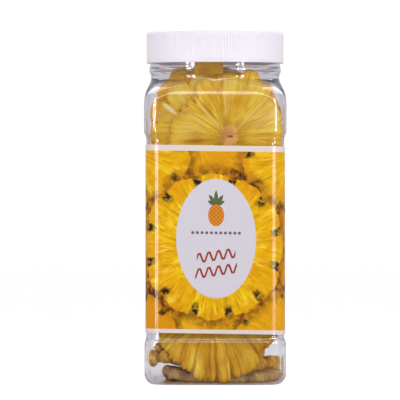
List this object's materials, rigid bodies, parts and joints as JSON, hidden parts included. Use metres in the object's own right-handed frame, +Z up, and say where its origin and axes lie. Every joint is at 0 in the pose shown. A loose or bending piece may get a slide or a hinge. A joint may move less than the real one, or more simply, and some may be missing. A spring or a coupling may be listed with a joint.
{
  "type": "jar of dried pineapple slices",
  "caption": "Clear square jar with a ribbed white screw cap and a printed wrap label, filled with dried pineapple slices that stand on edge.",
  "frame": {"origin": "middle of the base, on the surface that the jar stands on", "axes": "+Z up through the cap, -Y towards the front of the label, +X to the right seen from the front"},
  "size_m": [0.0886, 0.0886, 0.2205],
  "materials": {
    "clear_plastic": "clear, colourless and glossy, with sharp highlights down the corners",
    "label_print": "glossy wrap label, white at its upper and lower edge, printed all over in yellows and browns, with a white oval in front",
    "white_plastic": "satin white, finely ribbed",
    "dried_pineapple": "golden yellow with radial fibres, a pinkish brown core and dark specks at the rim"
  },
  "bodies": {
    "root": {"jar": "clear_plastic", "label": "label_print", "cap": "white_plastic", "slices": "dried_pineapple"}
  },
  "joints": []
}
